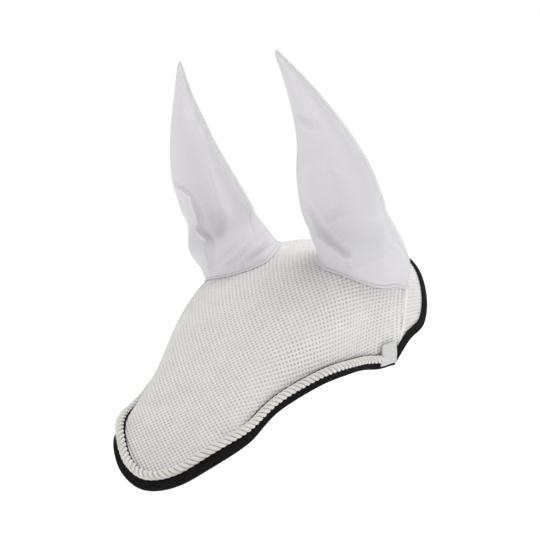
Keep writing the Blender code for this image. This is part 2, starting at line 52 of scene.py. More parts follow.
SIDE_BEND_START = ((-0.090, 0.045), (0.000, 0.048), (0.080, 0.049), (0.170, 0.031), (0.270, 0.034))
SIDE_BEND_END = ((-0.090, 0.100), (0.000, 0.101), (0.080, 0.103), (0.170, 0.069), (0.270, 0.075))
SIDE_BEND_DEG = ((-0.090, 42), (0.000, 49), (0.080, 62), (0.150, 60), (0.200, 66), (0.270, 50))
CORNER = (0.0105, 0.1625)
FRONT_RIM = ((0.2745, 0.0), (0.267, 0.027), (0.248, 0.0485), (0.216, 0.0665), (0.179, 0.0775), (0.138, 0.0995),
             (0.091, 0.1295), (0.044, 0.1540), CORNER)
REAR_RIM = (CORNER, (-0.018, 0.1495), (-0.052, 0.1375), (-0.0735, 0.105), (-0.079, 0.055), (-0.080, 0.0))
# The right side was pulled a little further down over the head than the left one, so each side has its own table.
RIGHT_FRONT_RIM = ((0.2745, 0.0), (0.266, 0.027), (0.246, 0.0485), (0.215, 0.070), (0.179, 0.083), (0.138, 0.104),
                   (0.091, 0.131), (0.044, 0.1540), CORNER)
# Each ear's base seam in millimetres of s and t, at every 30 degrees of turn from the ear's outer rear end.
EAR_BASE = {
    "left": ((-36, 101), (-14, 98), (6, 94), (24, 86), (37, 75), (43, 62), (43, 48), (34, 38), (16, 33), (-8, 36),
             (-29, 52), (-41, 78)),
    "right": ((-36, 101), (-8, 104), (20, 98), (43, 87), (60, 68), (66, 47), (62, 26), (49, 10), (25, 13), (-4, 29),
              (-28, 50), (-41, 78)),
}
CROWN_SEAM_S = -0.0218
HOLE_REAR_INNER = 54  # the point of the ear's hole, of HOLE_POINTS, where the crown seam starts
HOLE_POINTS = 72
SIDE_SEAM_MIDDLE = (-0.012, 0.134)
EAR_SPINE = ((0.00, 0.0630, -0.0060, -0.0220), (0.12, 0.0650, -0.0200, 0.0040), (0.30, 0.0672, -0.0400, 0.0340),
             (0.50, 0.0680, -0.0580, 0.0640), (0.70, 0.0655, -0.0760, 0.0960), (0.88, 0.0570, -0.0960, 0.1290),
             (1.00, 0.0480, -0.1100, 0.1510))
EAR_HALF_WIDTH = ((0.0, 0.0440), (0.12, 0.0430), (0.30, 0.0405), (0.50, 0.0340), (0.70, 0.0225), (0.88, 0.0105),
                  (1.0, 0.0018))
EAR_HALF_DEPTH = ((0.0, 0.0300), (0.12, 0.0260), (0.30, 0.0200), (0.50, 0.0165), (0.70, 0.0115), (0.88, 0.0060),
                  (1.0, 0.0016))
EAR_TWIST_DEG = ((0.0, 30), (0.30, 8), (1.0, 0))
EAR_SETTLE = 0.30
BULGE = 0.0145
BULGE_DIRECTION = (0.68, -0.70, -0.20)
BULGE_TURN_DEG = 48
BULGE_SPREAD_DEG = 42
BULGE_TOP = 0.27
OUTER_SEAM_DEG = 4
INNER_SEAM_DEG = 186

KNIT_THICKNESS = 0.0016
CLEARANCE = 0.0005
TAPE_THICKNESS = 0.0009
CLOTH_EDGE = 2 * (CLEARANCE + TAPE_THICKNESS)
BINDING_WIDTH = 0.0140
BINDING_INNER_WIDTH = 0.0090
REAR_BINDING_WIDTH = 0.0095
CORNER_MITRE = 0.0105
ROPE_INSET = 0.0112
TAB_WIDTH = 0.0168
TAB_HEIGHT = 0.0190
RIM_STEP = 0.0105
KNIT_INSET = CLOTH_EDGE + 0.0016  # the knit ends under the tape, clear of its edge
QUADRATURE = 12

random = np.random.default_rng(7)


# ---- lines and vectors ----
def unit(vectors):
    return vectors / np.linalg.norm(vectors, axis=-1, keepdims=True)


def run_along(points):
    """The distance along a line of points, from its first point to each."""
    return np.concatenate([[0], np.cumsum(np.linalg.norm(np.diff(points, axis=0), axis=1))])


def read_at(where, run, values):
    return np.stack([np.interp(where, run, values[:, i]) for i in range(values.shape[1])], 1)


def mirror(line):
    return (line * [1, -1])[::-1]


# ---- the form ----
def keyed(where, stations):
    table = np.array(stations, float)
    places, values = table[:, 0], table[:, 1]
    steps = np.diff(places)
    rises = np.diff(values) / steps
    slopes = np.empty(len(places))
    slopes[0], slopes[-1] = rises[0], rises[-1]
    slopes[1:-1] = (rises[:-1] * steps[1:] + rises[1:] * steps[:-1]) / (steps[:-1] + steps[1:])
    where = np.asarray(where, float)
    left = np.clip(np.searchsorted(places, where) - 1, 0, len(places) - 2)
    step = steps[left]
    f = np.clip((where - places[left]) / step, 0, 1)
    start = (2 * f**3 - 3 * f**2 + 1) * values[left] + (f**3 - 2 * f**2 + f) * step * slopes[left]
    end = (3 * f**2 - 2 * f**3) * values[left + 1] + (f**3 - f**2) * step * slopes[left + 1]
    return start + end


def ease(f):
    f = np.clip(f, 0, 1)
    return f * f * (3 - 2 * f)


def middle_line(s):
    fractions = (np.arange(QUADRATURE) + 0.5) / QUADRATURE
    slope = np.radians(keyed(s[..., None] * fractions, SLOPE_DEG))
    return -np.cos(slope).mean(-1) * s, -np.sin(slope).mean(-1) * s


def on_form(s, t):
    s, t = np.broadcast_arrays(np.asarray(s, float), np.asarray(t, float))
    y, z = middle_line(s)
    fractions = (np.arange(QUADRATURE) + 0.5) / QUADRATURE
    across = np.abs(t)[..., None] * fractions
    start = keyed(s, SIDE_BEND_START)[..., None]
    end = keyed(s, SIDE_BEND_END)[..., None]
    bend = np.radians(keyed(s, TOP_BEND_DEG_PER_M))[..., None] * across
    bend = bend + np.radians(keyed(s, SIDE_BEND_DEG))[..., None] * ease((across - start) / (end - start))
    drop = np.sin(bend).mean(-1) * np.abs(t)
    fan = np.radians(keyed(s, FAN_DEG))
    return np.stack([np.cos(bend).mean(-1) * t, y + drop * np.sin(fan), z - drop * np.cos(fan)], -1)


def form_frame(s, t):
    d = 0.0005
    s, t = np.asarray(s, float), np.asarray(t, float)
    along = (on_form(s + d, t) - on_form(s - d, t)) / (2 * d)
    across = (on_form(s, t + d) - on_form(s, t - d)) / (2 * d)
    return along, across, unit(np.cross(along, across))


def form_point(s, t, h):
    return on_form(s, t) + form_frame(s, t)[2] * np.asarray(h, float)[..., None]


def smooth_line(points, step, mirrored_start=False, mirrored_end=False):
    points = np.array(points, float)
    flip = np.array([1, -1])
    before = points[1] * flip if mirrored_start else 2 * points[0] - points[1]
    after = points[-2] * flip if mirrored_end else 2 * points[-1] - points[-2]
    p = np.vstack([before, points, after])
    line = []
    for i in range(1, len(p) - 2):
        count = max(2, round(np.linalg.norm(p[i + 1] - p[i]) / step))
        f = (np.arange(count) / count)[:, None]
        middle = (p[i + 1] - p[i - 1]) * f
        second = (2 * p[i - 1] - 5 * p[i] + 4 * p[i + 1] - p[i + 2]) * f**2
        third = (3 * p[i] - p[i - 1] - 3 * p[i + 1] + p[i + 2]) * f**3
        line.append(0.5 * (2 * p[i] + middle + second + third))
    line.append(points[-1:])
    return np.vstack(line)


def inset(line, distance):
    direction = np.gradient(line, axis=0)
    along, across, normal = form_frame(line[:, 0], line[:, 1])
    tangent = along * direction[:, :1] + across * direction[:, 1:]
    side = unit(np.cross(normal, tangent))
    pattern = np.stack([along, across], 2)
    gram = np.einsum("nij,nik->njk", pattern, pattern)
    pull = np.einsum("nij,ni->nj", pattern, side)
    return line + np.linalg.solve(gram, pull[..., None])[..., 0] * distance


def front_rim(step):
    left = smooth_line(FRONT_RIM, step, mirrored_start=True)
    right = smooth_line(RIGHT_FRONT_RIM, step, mirrored_start=True)
    return np.vstack([mirror(right), left[1:]])


def rear_rim(step):
    half = smooth_line(REAR_RIM, step, mirrored_end=True)
    return np.vstack([half, mirror(half)[1:]])


def round_table(turn, table):
    """A smooth closed curve through the table's evenly spaced points, read at each turn in radians."""
    table = np.asarray(table, float)
    n = len(table)
    where = np.asarray(turn, float) / (2 * np.pi) * n
    i = np.floor(where).astype(int)
    f = (where - i)[..., None]
    a, b, c, d = (table[(i + k) % n] for k in (-1, 0, 1, 2))
    return 0.5 * (2 * b + (c - a) * f + (2 * a - 5 * b + 4 * c - d) * f**2 + (3 * b - a - 3 * c + d) * f**3)


def hole_at(label, turn, grow=0.0):
    """The edge of the ear's hole in the pattern, t outwards, grow further from the hole's middle."""
    base = np.array(EAR_BASE[label]) / 1000
    away = np.roll(base, -1, axis=0) - np.roll(base, 1, axis=0)
    away = unit(np.stack([away[:, 1], -away[:, 0]], 1))
    away *= np.sign(((base - base.mean(0)) * away).sum())
    return round_table(turn, base + away * grow)


def ear_hole(label, grow=0.0, count=HOLE_POINTS):
    return hole_at(label, 2 * np.pi * np.arange(count) / count, grow)


def side_seam(label, step=0.004):
    corner = inset(front_rim(RIM_STEP), CLOTH_EDGE)[-1]
    return smooth_line((ear_hole(label)[0], SIDE_SEAM_MIDDLE, corner), step)


def crown_seam(label, step=0.004):
    start = ear_hole(label)[HOLE_REAR_INNER]
    return smooth_line((start, (CROWN_SEAM_S, 0.0)), step)


def front_half(label):
    hole = ear_hole(label)
    rim = inset(front_rim(RIM_STEP), KNIT_INSET)
    if label == "right":
        rim = mirror(rim)
    side = side_seam(label)[1:-1]
    return np.vstack([rim[len(rim) // 2:], side[::-1], hole[: HOLE_REAR_INNER + 1], crown_seam(label)[1:]])


def rear_half(label):
    hole = ear_hole(label)
    side = side_seam(label)[1:-1]
    rim = inset(rear_rim(RIM_STEP), KNIT_INSET)
    rim[0] = side_seam(label)[-1]
    return np.vstack([rim[: len(rim) // 2 + 1][::-1], side[::-1], hole[:1], hole[HOLE_REAR_INNER:][::-1],
                      crown_seam(label)[1:]])


def front_outline():
    return np.vstack([front_half("left"), mirror(front_half("right"))[1:-1]])


def rear_outline():
    return np.vstack([rear_half("left"), mirror(rear_half("right"))[1:-1]])


def lengths(line):
    return run_along(on_form(line[:, 0], line[:, 1]))


def trimmed(line, start, end):
    length = lengths(line)
    keep = (length > start + 0.0002) & (length < length[-1] - end - 0.0002)
    ends = [[np.interp(x, length, line[:, i]) for i in (0, 1)] for x in (start, length[-1] - end)]
    return np.vstack([ends[0], line[keep], ends[1]])


def evenly(line, step):
    """The line's points at even real distances."""
    length = lengths(line)
    where = np.linspace(0, length[-1], max(3, round(length[-1] / step) + 1))
    return read_at(where, length, line)


def inside(points, outline):
    x, y = points[:, 0], points[:, 1]
    found = np.zeros(len(points), bool)
    for a, b in zip(outline, np.roll(outline, -1, axis=0)):
        crosses = (a[1] > y) != (b[1] > y)
        rise = b[1] - a[1] if b[1] != a[1] else 1.0
        found ^= crosses & (x < (b[0] - a[0]) * (y - a[1]) / rise + a[0])
    return found


# ---- materials ----
def material(name, colour, roughness, sheen=0.0, specular=0.35):
    made = bpy.data.materials.new(name)
    made.use_nodes = True
    nodes, links = made.node_tree.nodes, made.node_tree.links
    shader = nodes["Principled BSDF"]
    shader.inputs["Base Color"].default_value = (*colour, 1)
    shader.inputs["Roughness"].default_value = roughness
    shader.inputs["Specular IOR Level"].default_value = specular
    shader.inputs["Sheen Weight"].default_value = sheen
    shader.inputs["Sheen Roughness"].default_value = 0.5
    return made, nodes, links, shader


def node(nodes, kind, **values):
    made = nodes.new(kind)
    for key, value in values.items():
        if key in made.inputs:
            made.inputs[key].default_value = value
        else:
            setattr(made, key, value)
    return made


def noise(nodes, links, scale, detail=3.0, stretch=(1, 1, 1)):
    place = node(nodes, "ShaderNodeTexCoord")
    mapping = node(nodes, "ShaderNodeMapping")
    mapping.inputs["Scale"].default_value = stretch
    links.new(place.outputs["Object"], mapping.inputs["Vector"])
    made = node(nodes, "ShaderNodeTexNoise", Scale=scale, Detail=detail)
    links.new(mapping.outputs["Vector"], made.inputs["Vector"])
    return made.outputs["Fac"]


def ramp(nodes, links, value, low, high, first, last):
    made = node(nodes, "ShaderNodeValToRGB")
    made.color_ramp.elements[0].position = low
    made.color_ramp.elements[1].position = high
    made.color_ramp.elements[0].color = (*first, 1)
    made.color_ramp.elements[1].color = (*last, 1)
    links.new(value, made.inputs["Fac"])
    return made.outputs["Color"]


def bump(nodes, links, shader, height, strength, distance, under=None):
    made = node(nodes, "ShaderNodeBump", Strength=strength, Distance=distance)
    links.new(height, made.inputs["Height"])
    if under is not None:
        links.new(under, made.inputs["Normal"])
    links.new(made.outputs["Normal"], shader.inputs["Normal"])
    return made.outputs["Normal"]


def tinted(nodes, links, shader, scale, detail, low, high, first, last):
    """A base colour that wanders between two tints."""
    tint = ramp(nodes, links, noise(nodes, links, scale, detail), low, high, first, last)
    links.new(tint, shader.inputs["Base Color"])
    return tint


def attribute(nodes, name):
    return node(nodes, "ShaderNodeAttribute", attribute_name=name)


def knit_material():
    made, nodes, links, shader = material("knit_cotton", (0.84, 0.835, 0.82), 0.85, sheen=0.12)
    tinted(nodes, links, shader, 60, 2, 0.35, 0.70, (0.885, 0.875, 0.868), (0.925, 0.918, 0.912))
    bump(nodes, links, shader, noise(nodes, links, 2600, 2), 0.35, 0.0002)
    return made


# Painted shade: the pit floors are coloured darker to stand in for the shade seen through the knit's open holes.
def pit_shade_material():
    made, nodes, links, shader = material("knit_pit_painted_shade", (0.64, 0.615, 0.59), 0.9, specular=0.2)
    tinted(nodes, links, shader, 40, 3, 0.30, 0.72, (0.59, 0.565, 0.54), (0.69, 0.67, 0.65))
    bump(nodes, links, shader, noise(nodes, links, 3000, 1), 0.3, 0.0002)
    return made


def lycra_material():
    made, nodes, links, shader = material("ear_jersey", (0.80, 0.80, 0.815), 0.58, sheen=0.10, specular=0.4)
    tinted(nodes, links, shader, 22, 3, 0.30, 0.75, (0.735, 0.722, 0.745), (0.765, 0.752, 0.772))
    wave = node(nodes, "ShaderNodeTexWave", Scale=1.0, Distortion=0.6, Detail=1.0)
    wave.inputs["Detail Scale"].default_value = 3.0
    links.new(attribute(nodes, "wale").outputs["Vector"], wave.inputs["Vector"])
    under = bump(nodes, links, shader, wave.outputs["Fac"], 0.10, 0.0002)
    bump(nodes, links, shader, noise(nodes, links, 900, 2), 0.06, 0.0003, under)
    return made


def rope_material():
    made, nodes, links, shader = material("rope_cotton", (0.86, 0.84, 0.79), 0.75, sheen=0.15)
    tint = tinted(nodes, links, shader, 160, 2, 0.30, 0.75, (0.78, 0.745, 0.69), (0.86, 0.84, 0.80))
    # Painted shade: the colour is mixed toward dark brown in the grooves between the strands, where shade falls.
    depth = node(nodes, "ShaderNodeSeparateXYZ")
    links.new(attribute(nodes, "groove_shade").outputs["Vector"], depth.inputs["Vector"])
    mixed = node(nodes, "ShaderNodeMix", data_type="RGBA")
    links.new(depth.outputs["X"], mixed.inputs[0])
    links.new(tint, mixed.inputs[6])
    mixed.inputs[7].default_value = (0.30, 0.27, 0.24, 1)
    links.new(mixed.outputs[2], shader.inputs["Base Color"])
    wave = node(nodes, "ShaderNodeTexWave", Scale=1.0, Distortion=1.2, Detail=2.0)
    links.new(attribute(nodes, "wale").outputs["Vector"], wave.inputs["Vector"])
    bump(nodes, links, shader, wave.outputs["Fac"], 0.35, 0.0002)
    return made


def binding_material():
    made, nodes, links, shader = material("binding_black", (0.005, 0.004, 0.005), 0.75, sheen=0.0, specular=0.16)
    tinted(nodes, links, shader, 300, 3, 0.30, 0.80, (0.003, 0.002, 0.003), (0.009, 0.007, 0.008))
    bump(nodes, links, shader, noise(nodes, links, 1800, 2), 0.25, 0.0002)
    return made


def ribbon_material():
    made, nodes, links, shader = material("tab_satin", (0.82, 0.82, 0.82), 0.5, sheen=0.05, specular=0.4)
    tinted(nodes, links, shader, 120, 2, 0.30, 0.75, (0.655, 0.655, 0.65), (0.70, 0.70, 0.695))
    bump(nodes, links, shader, noise(nodes, links, 1500, 2, (1, 1, 4)), 0.2, 0.0002)
    return made


def thread_material():
    made, nodes, links, shader = material("seam_thread", (0.83, 0.82, 0.79), 0.7, sheen=0.1)
    tinted(nodes, links, shader, 500, 2, 0.30, 0.75, (0.76, 0.74, 0.70), (0.86, 0.85, 0.83))
    bump(nodes, links, shader, noise(nodes, links, 2500, 1), 0.3, 0.0002)
    return made


# ---- meshes ----
def add_piece(name, points, faces, look, wale=None):
    mesh = bpy.data.meshes.new(name)
    mesh.from_pydata(np.asarray(points, float).tolist(), [], [list(map(int, face)) for face in faces])
    mesh.update()
    mesh.shade_smooth()
    if wale is not None:
        made = mesh.attributes.new("wale", "FLOAT_VECTOR", "POINT")
        made.data.foreach_set("vector", np.asarray(wale, np.float32).ravel())
    mesh.materials.append(look)
    obj = bpy.data.objects.new(name, mesh)
    bpy.context.scene.collection.objects.link(obj)
    return obj


def outward(points, faces):
    """The faces, turned so that a closed mesh has its volume outside in."""
    p = np.asarray(points)
    total = 0.0
    for size in (3, 4):
        some = np.array([f for f in faces if len(f) == size])
        if len(some):
            for i in range(1, size - 1):
                total += np.einsum("ij,ij->", p[some[:, 0]], np.cross(p[some[:, i]], p[some[:, i + 1]]))
    return faces if total > 0 else [tuple(f)[::-1] for f in faces]


def swept_faces(count, size, closed=False):
    faces = []
    for i in range(count if closed else count - 1):
        a, b = i * size, (i + 1) % count * size
        for j in range(size):
            k = (j + 1) % size
            faces.append((a + j, a + k, b + k, b + j))
    if not closed:
        middle = count * size
        for j in range(size):
            k = (j + 1) % size
            faces.append((k, j, middle))
            faces.append(((count - 1) * size + j, (count - 1) * size + k, middle + 1))
    return faces


def swept(name, rings, look, closed=False):
    rings = np.asarray(rings)
    count, size = rings.shape[:2]
    points = rings.reshape(-1, 3)
    if not closed:
        points = np.vstack([points, rings[0].mean(0), rings[-1].mean(0)])
    faces = outward(points, swept_faces(count, size, closed))
    return add_piece(name, points, faces, look)


def side_along(points, normal):
    """The line's direction and the one square to it in the surface."""
    tangent = unit(np.gradient(points, axis=0))
    return tangent, unit(np.cross(normal, tangent))


def tube_rings(centre, across, over, radius, sides):
    """Round sections of the given radius at each point of a line."""
    around = 2 * np.pi * np.arange(sides) / sides
    return centre[:, None] + radius[:, None, None] * (np.cos(around)[:, None] * across[:, None]
                                                      + np.sin(around)[:, None] * over[:, None])


def add_block(blocks, faces, rings):
    """A capped tube added to a list of blocks of points and to the faces over all of them."""
    first = sum(len(block) for block in blocks)
    block = np.vstack([rings.reshape(-1, 3), rings[0].mean(0), rings[-1].mean(0)])
    faces += [tuple(i + first for i in face) for face in outward(block, swept_faces(*rings.shape[:2]))]
    blocks.append(block)


def frames_along(line):
    """Two directions square to the line at each of its points, without sudden turns."""
    tangent = unit(np.gradient(line, axis=0))
    side = np.cross(tangent[0], (0, 0, 1))
    sides = []
    for d in tangent:
        side = side - d * side.dot(d)
        side /= np.linalg.norm(side)
        sides.append(side)
    sides = np.array(sides)
    return sides, np.cross(tangent, sides)


# ---- the knit ----
# The wales and courses of the front panel, as counts of stitches at s, t in decimetres. The cloth is cut on the bias,
# so the same polynomial, mirrored, gives both families of lines.
STITCHES = ((0, 1, 25.94), (0, 2, 4.48), (0, 3, -0.80), (0, 4, 0.59), (1, 0, 13.43), (1, 1, -3.54), (1, 2, -3.08),
            (1, 3, 0.58), (2, 0, 1.41), (2, 1, 1.23), (2, 2, 0.84), (3, 0, 1.04), (3, 1, -0.16), (4, 0, -0.15))
REAR_PITCH = 0.0031
WALE_HEIGHT = 0.00165
COURSE_HEIGHT = 0.00115
KNOT_RISE = 0.00010
PIT_HEIGHT = 0.00066
KNIT_UNDERSIDE = 0.00002


def stitch_count(s, t):
    s, t = s * 10, t * 10
    return sum(c * s**i * t**j for i, j, c in STITCHES)


def front_lattice(s, t):
    return np.stack([-stitch_count(s, -t), stitch_count(s, t)], -1)


def rear_lattice(s, t):
    return np.stack([t / REAR_PITCH, s / REAR_PITCH], -1)


def unlattice(lattice, target, low, high):
    """Where on the pattern the lattice has the target counts, found from the nearest sample by Newton's steps."""
    grid = np.stack(np.meshgrid(np.arange(low[0], high[0], 0.004), np.arange(low[1], high[1], 0.004)), -1)
    grid = grid.reshape(-1, 2)
    counts = lattice(grid[:, 0], grid[:, 1])
    start = np.empty_like(target)
    for first in range(0, len(target), 500):
        part = target[first:first + 500]
        nearest = ((part[:, None] - counts) ** 2).sum(-1).argmin(1)
        start[first:first + 500] = grid[nearest]
    p, d = start, 1e-5
    for _ in range(6):
        now = lattice(p[:, 0], p[:, 1])
        by_s = (lattice(p[:, 0] + d, p[:, 1]) - now) / d
        by_t = (lattice(p[:, 0], p[:, 1] + d) - now) / d
        jacobian = np.stack([by_s, by_t], -1)
        p = p + np.clip(np.linalg.solve(jacobian, (target - now)[..., None])[..., 0], -0.004, 0.004)
    return p, np.abs(lattice(p[:, 0], p[:, 1]) - target).max(1)


RING = ((1, 0), (1, 1), (0, 1), (-1, 1), (-1, 0), (-1, -1), (0, -1), (1, -1))


def knit(name, outline, lattice, look, pit_shade, replaces, open_share):
    """A knit with a pit in each cell of the lattice: raised wales and lower courses over a thin floor in each pit,
    coloured darker as painted shade for the shade seen through the real knit's open holes.
    """
    low, high = outline.min(0) - 0.006, outline.max(0) + 0.006
    grid = np.stack(np.meshgrid(np.arange(low[0], high[0], 0.002), np.arange(low[1], high[1], 0.002)), -1)
    grid = grid.reshape(-1, 2)
    counts = lattice(*grid[inside(grid, outline)].T)
    first, last = np.floor(counts.min(0)).astype(int), np.ceil(counts.max(0)).astype(int)
    cells = np.stack(np.meshgrid(np.arange(first[0], last[0] + 1), np.arange(first[1], last[1] + 1),
                                 indexing="ij"), -1).reshape(-1, 2)
    centres, miss = unlattice(lattice, cells.astype(float), low, high)
    kept = (miss < 0.01) & inside(centres, outline)
    cells, centres = cells[kept], centres[kept]
    ring = np.array(RING)
    keys = (2 * cells[:, None] + ring).reshape(-1, 2)
    nodes, index = np.unique(keys, axis=0, return_inverse=True)
    index = index.reshape(len(cells), 8)
    places, miss = unlattice(lattice, nodes / 2, low - 0.01, high + 0.01)
    places += random.normal(0, 0.00010, places.shape)
    on_wale = nodes[:, 0] % 2 == 1
    on_course = nodes[:, 1] % 2 == 1
    knot = on_wale & on_course
    top = np.where(on_wale, WALE_HEIGHT, COURSE_HEIGHT) + np.where(knot, KNOT_RISE, 0)
    top += random.normal(0, 0.00005, len(top))
    bottom = np.full(len(nodes), KNIT_UNDERSIDE)
    share = open_share(centres) * random.normal(1, 0.05, len(cells))
    half = np.stack([share * 1.0, share * 1.06], 1)
    corner = 1 / (half[:, 0] ** -2.5 + half[:, 1] ** -2.5) ** 0.4
    reach = np.where(np.abs(ring).sum(1) == 2, corner[:, None], np.where(ring[:, 0] != 0, half[:, :1], half[:, 1:]))
    rims = centres[:, None] + (places[index] - centres[:, None]) * reach[..., None]
    rims = rims.reshape(-1, 2)
    n, m = len(nodes), len(rims)
    flat = np.vstack([places, places, rims])
    height = np.concatenate([top, bottom, np.full(m, PIT_HEIGHT)])
    points = form_point(flat[:, 0], flat[:, 1], height)
    faces = []
    rim = (2 * n + np.arange(m)).reshape(-1, 8)
    for k in range(8):
        j = (k + 1) % 8
        faces.append(np.stack([index[:, k], index[:, j], rim[:, j], rim[:, k]], 1))
    faces = np.vstack(faces)
    edges = np.concatenate([np.stack([index[:, k], index[:, (k + 1) % 8]], 1) for k in range(8)])
    known = {(int(a), int(b)) for a, b in edges}
    walls = np.array([(b, a, a + n, b + n) for a, b in sorted(known) if (b, a) not in known])
    faces = np.vstack([faces, walls])
    faces = [tuple(face) for face in faces] + [tuple(r) for r in rim] + [tuple(r[::-1] + n) for r in index]
    first = points[index[len(index) // 2]]
    turn = np.cross(first[2] - first[0], first[4] - first[2])
    if turn.dot(form_frame(*centres[len(index) // 2])[2]) < 0:
        faces = [face[::-1] for face in faces]
    piece = add_piece(name, points, faces, look)
    piece.data.materials.append(pit_shade)
    # The pit floors take the second, darker material, which is painted shade.
    pits = np.zeros(len(faces), np.int32)
    pits[-2 * len(rim):-len(rim)] = 1
    piece.data.polygons.foreach_set("material_index", pits)
    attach(piece, "root")
    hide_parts(*replaces)
    return piece


def near_ear(places):
    """How close each place is to an ear's base seam: 1 beside it, falling off over about 20 mm."""
    away = np.full(len(places), 1.0)
    for label, side in (("left", 1), ("right", -1)):
        for point in ear_hole(label, 0.0, 48) * [1, side]:
            away = np.minimum(away, np.linalg.norm(places - point, axis=1))
    return np.exp(-(away / 0.016) ** 2)


def front_open(places):
    return 0.58 + 0.10 * near_ear(places)


def rear_open(places):
    return 0.46 + 0.06 * near_ear(places)


def flat_area(outline):
    """The real area of the form inside the outline."""
    step = 0.004
    low, high = outline.min(0), outline.max(0)
    grid = np.stack(np.meshgrid(np.arange(low[0], high[0], step), np.arange(low[1], high[1], step)), -1).reshape(-1, 2)
    grid = grid[inside(grid, outline)]
    along, across, _ = form_frame(grid[:, 0], grid[:, 1])
    return float(np.linalg.norm(np.cross(along, across), axis=1).sum() * step * step)


# ---- edge trims ----
def strip_profile(outer, inner, lift, thickness, bow):
    """The section of a strip folded round the cloth's edge: (distance in from the outline, height)."""
    top, low = KNIT_THICKNESS + lift, -lift
    edge = CLOTH_EDGE - lift
    middle = (top + low) / 2
    radius = (top - low) / 2
    points = []
    steps = 8
    for k in range(steps + 1):
        f = k / steps
        e = outer + (edge + radius * 0.35 - outer) * f
        points.append((e, top + thickness + bow * math.sin(math.pi * f)))
    for k in range(1, 6):
        turn = math.pi / 2 + math.pi * k / 6
        points.append((edge - thickness * 0.7 + (radius + thickness) * 0.55 * math.cos(turn) + 0.0006,
                       middle + (radius + thickness) * math.sin(turn)))
    for k in range(4):
        f = k / 3
        points.append((edge + radius * 0.35 + (inner - edge - radius * 0.35) * f, low - thickness))
    for k in range(4):
        f = 1 - k / 3
        points.append((edge + 0.0008 + (inner - edge - 0.0008) * f, low))
    points.append((edge + 0.0002, middle))
    for k in range(5):
        f = k / 4
        points.append((edge + 0.0008 + (outer - edge - 0.0008) * f, top))
    return points


def strip(name, line, profile, look, ribs=0.0):
    insets, columns = {}, []
    ripple = ribs * (np.arange(len(line)) % 2 - 0.5)
    for e, h in profile:
        key = round(e, 6)
        if key not in insets:
            insets[key] = inset(line, e)
        place = insets[key]
        sign = 1 if h > KNIT_THICKNESS else (-1 if h < 0 else 0)
        columns.append(form_point(place[:, 0], place[:, 1], h + sign * ripple))
    return swept(name, np.stack(columns, 1), look)


def make_bindings(look):
    front = evenly(trimmed(front_rim(0.002), 0.0005, 0.0005), 0.0008)
    profile = strip_profile(BINDING_WIDTH, BINDING_INNER_WIDTH, CLEARANCE * 0.5, TAPE_THICKNESS, 0.00035)
    piece = strip("front_binding_tape", front, profile, look, ribs=0.00016)
    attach(piece, "root")
    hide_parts("front_edge_binding")
    lengths(front)[-1]
    rear = evenly(trimmed(rear_rim(0.002), CORNER_MITRE - 0.008, CORNER_MITRE - 0.008), 0.0008)
    profile = strip_profile(REAR_BINDING_WIDTH, REAR_BINDING_WIDTH, CLEARANCE * 0.5, TAPE_THICKNESS, 0.00030)
    piece = strip("rear_binding_tape", rear, profile, look, ribs=0.00016)
    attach(piece, "root")
    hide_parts("rear_edge_binding")
    lengths(rear)[-1]


ROPE_STRANDS = 3
ROPE_LEAD = 0.0138
STRAND_RADIUS = 0.00150
STRAND_ORBIT = 0.00188
ROPE_RISE = 0.0022
ROPE_SIDES = 10


def make_rope(look):
    ends = TAB_WIDTH + 0.0016
    line = evenly(inset(trimmed(front_rim(0.002), ends, ends), ROPE_INSET), 0.0008)
    height = KNIT_THICKNESS + CLEARANCE + TAPE_THICKNESS + ROPE_RISE
    points = form_point(line[:, 0], line[:, 1], np.full(len(line), height))
    tangent, side = side_along(points, form_frame(line[:, 0], line[:, 1])[2])
    up = np.cross(tangent, side)
    run = run_along(points)
    blocks, faces, lays, groove_shades = [], [], [], []
    for strand in range(ROPE_STRANDS):
        turn = 2 * np.pi * (run / ROPE_LEAD + strand / ROPE_STRANDS)
        centre = points + STRAND_ORBIT * (np.cos(turn)[:, None] * side + np.sin(turn)[:, None] * up)
        end = np.minimum(run, run[-1] - run)
        radius = STRAND_RADIUS * (0.55 + 0.45 * np.clip(end / 0.0012, 0, 1) ** 0.5)
        rings = tube_rings(centre, *frames_along(centre), radius, ROPE_SIDES)
        add_block(blocks, faces, rings)
        around = 2 * np.pi * np.arange(ROPE_SIDES) / ROPE_SIDES
        lay = np.stack([np.repeat(run * 900, ROPE_SIDES) + np.tile(around, len(run)) * 2.0,
                        np.tile(np.cos(around), len(run)), np.tile(np.sin(around), len(run))], 1)
        lays.append(np.vstack([lay, [[0, 0, 0], [0, 0, 0]]]))
        # Painted shade: points near the rope's axis, down between the strands, get a shade amount that darkens their
        # colour; the centres of the strands' end caps get full shade.
        reach = np.linalg.norm(rings - points[:, None], axis=2)
        groove_shade = np.append(ease((0.0029 - reach) / 0.0010).ravel(), (1, 1))
        groove_shades.append(np.stack([groove_shade, 0 * groove_shade, 0 * groove_shade], 1))
    piece = add_piece("front_rope_strands", np.vstack(blocks), faces, look, np.vstack(lays))
    made = piece.data.attributes.new("groove_shade", "FLOAT_VECTOR", "POINT")
    made.data.foreach_set("vector", np.vstack(groove_shades).astype(np.float32).ravel())
    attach(piece, "root")
    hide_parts("front_twisted_rope")


def stitches(name, points, normal, look, length, gap, radius):
    """A row of sewing stitches along a line of points in space, with the surface's normals."""
    run = run_along(points)
    count = max(1, int(run[-1] / (length + gap)))
    starts = (np.arange(count) + 0.5) * run[-1] / count - length / 2
    blocks, faces = [], []
    steps = 6
    sink = 0.3
    for start in starts:
        where = start + length * np.linspace(0, 1, steps)
        up = unit(read_at(where, run, normal))
        rise = np.sin(np.pi * np.linspace(0, 1, steps)) ** 0.6
        centre = read_at(where, run, points) + up * (rise * radius * (1 + sink) - radius * sink)[:, None]
        _, side = side_along(centre, up)
        add_block(blocks, faces, tube_rings(centre, side, up, radius * (0.6 + 0.4 * rise), 6))
    return add_piece(name, np.vstack(blocks), faces, look)


